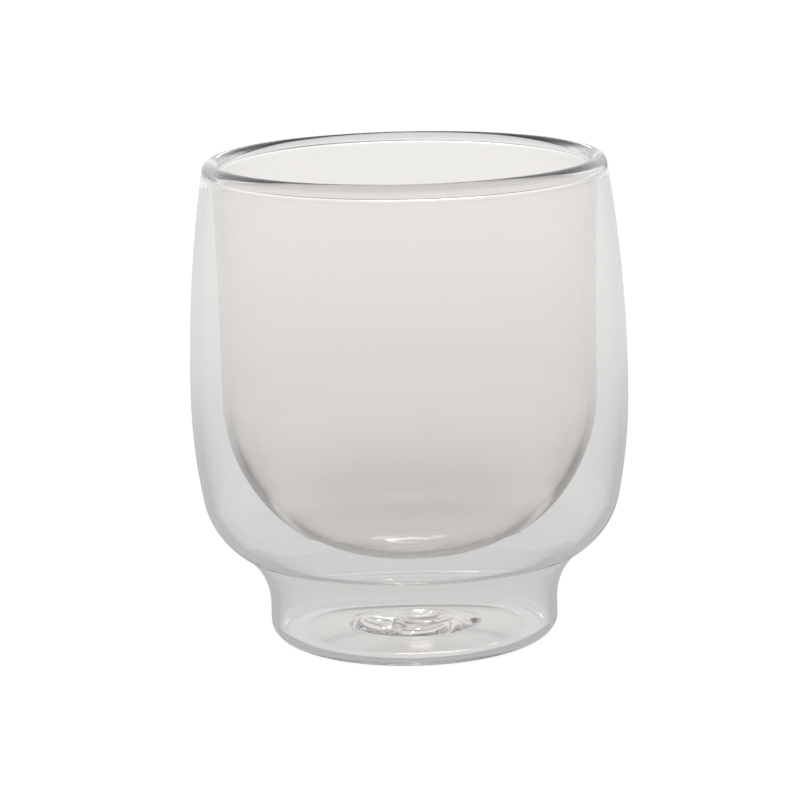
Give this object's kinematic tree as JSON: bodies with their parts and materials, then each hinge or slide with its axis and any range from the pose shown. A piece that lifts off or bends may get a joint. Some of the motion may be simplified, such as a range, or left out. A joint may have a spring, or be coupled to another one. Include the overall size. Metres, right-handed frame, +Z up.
{
  "type": "double walled glass cup",
  "caption": "Handleless clear glass cup with two walls, a sealed air gap, a fused round rim, a full belly and a narrow round foot.",
  "frame": {"origin": "middle of the flat ring that the cup stands on", "axes": "+Z up along the cup's axis, from the foot to the mouth; the cup is round, so +X and +Y are free"},
  "size_m": [0.0814, 0.0814, 0.09],
  "materials": {
    "clear_glass": "clear, fire polished"
  },
  "bodies": {
    "root": {"outer_shell": "clear_glass", "inner_bowl": "clear_glass", "rim_bead": "clear_glass", "vent_seal": "clear_glass"}
  },
  "joints": []
}
